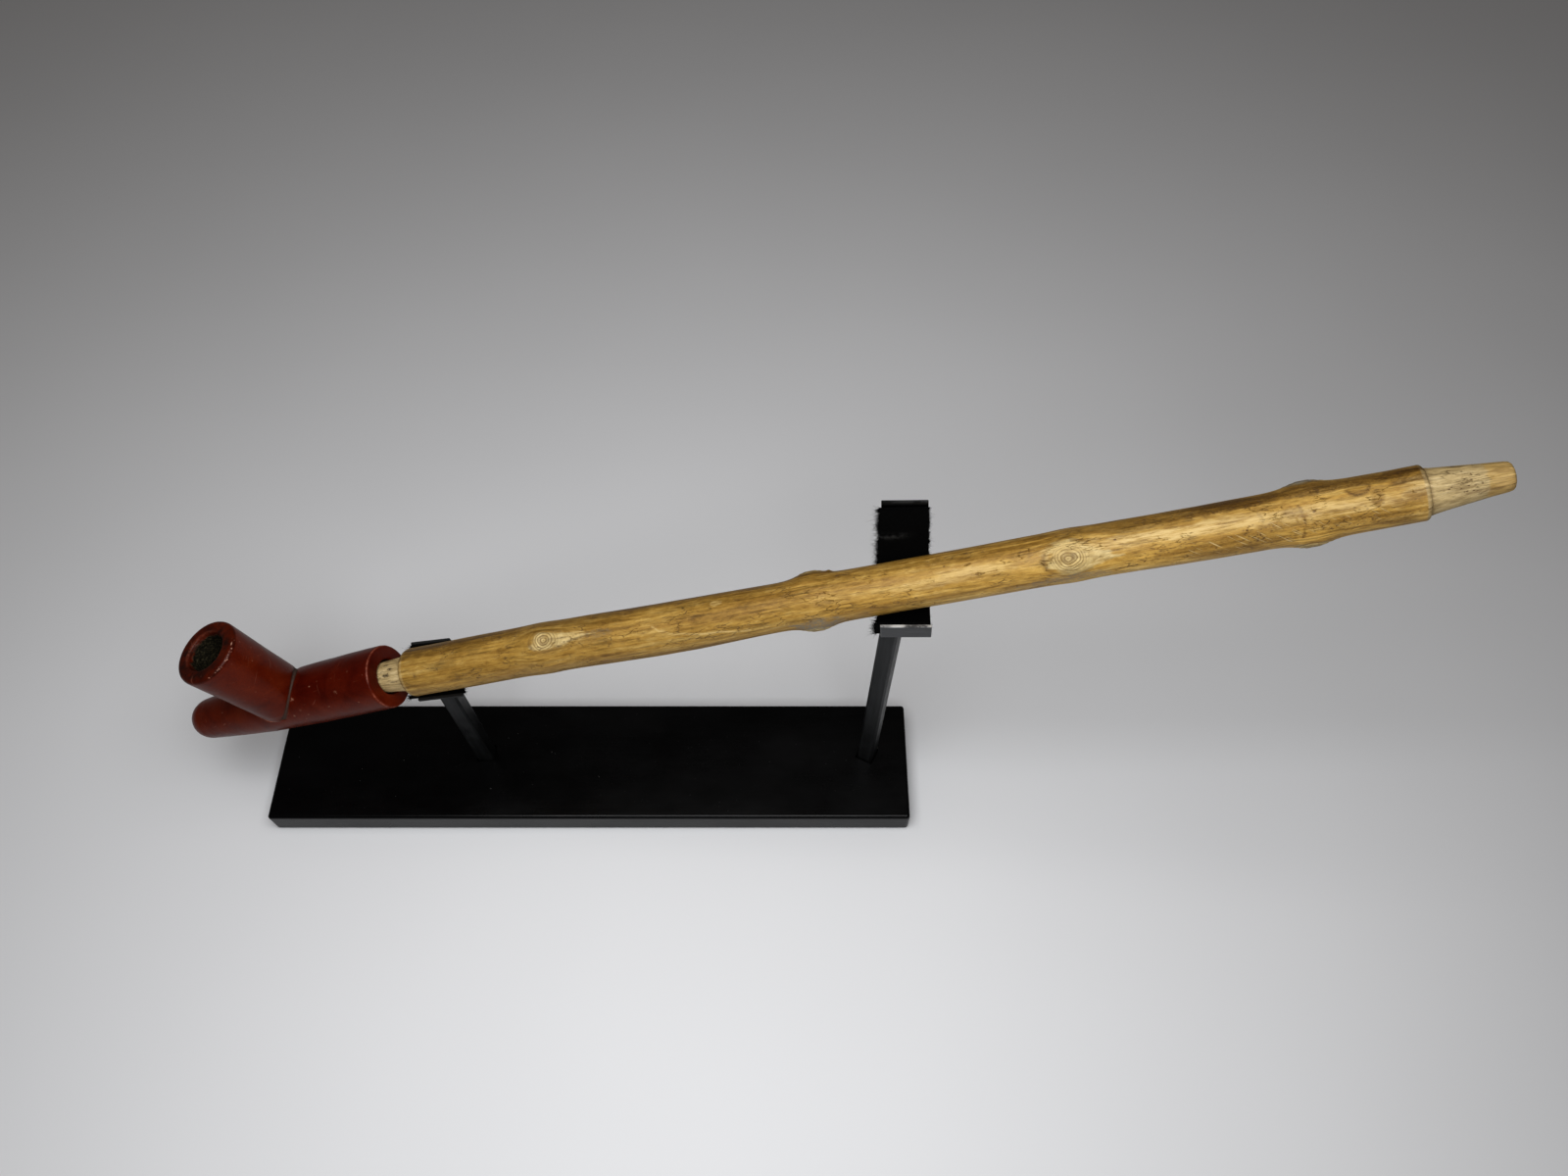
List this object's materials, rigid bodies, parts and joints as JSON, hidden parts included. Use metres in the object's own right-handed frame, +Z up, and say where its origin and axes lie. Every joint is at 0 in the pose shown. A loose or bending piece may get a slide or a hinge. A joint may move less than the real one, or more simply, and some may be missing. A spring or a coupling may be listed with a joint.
{
  "type": "long-stemmed tobacco pipe on display stand",
  "caption": "T-shaped red stone pipe bowl on a long knotty wooden stem, lying in the felt-lined bent-strip brackets of a black two-post display stand.",
  "frame": {"origin": "centre of the board's underside", "axes": "+X along the board towards the mouthpiece, +Y to the back of the stand where the tall plate is, +Z up"},
  "size_m": [0.6722, 0.078, 0.3243],
  "materials": {
    "black_paint": "black satin paint",
    "dark_steel": "dark, dull",
    "black_felt": "matte felt",
    "natural_wood": "handled, semi-gloss",
    "red_stone": "satin"
  },
  "bodies": {
    "stand": {"base_board": "black_paint", "left_post": "dark_steel", "right_post": "dark_steel", "left_bracket": "dark_steel", "right_bracket": "dark_steel", "left_felt": "black_felt", "right_felt": "black_felt", "left_screw": "dark_steel", "right_screw": "dark_steel", "left_washer": "dark_steel", "right_washer": "dark_steel"},
    "stem": {"pipe_stem": "natural_wood"},
    "bowl": {"pipe_bowl": "red_stone"}
  },
  "joints": [
    {"name": "pipe_lift", "type": "slide", "parent": "stand", "child": "stem", "axis": [0, 0, 1], "range_m": [0, 0.1]},
    {"name": "bowl_pull", "type": "slide", "parent": "stem", "child": "bowl", "axis": [-0.943, 0, -0.3328], "range_m": [0, 0.05]}
  ]
}
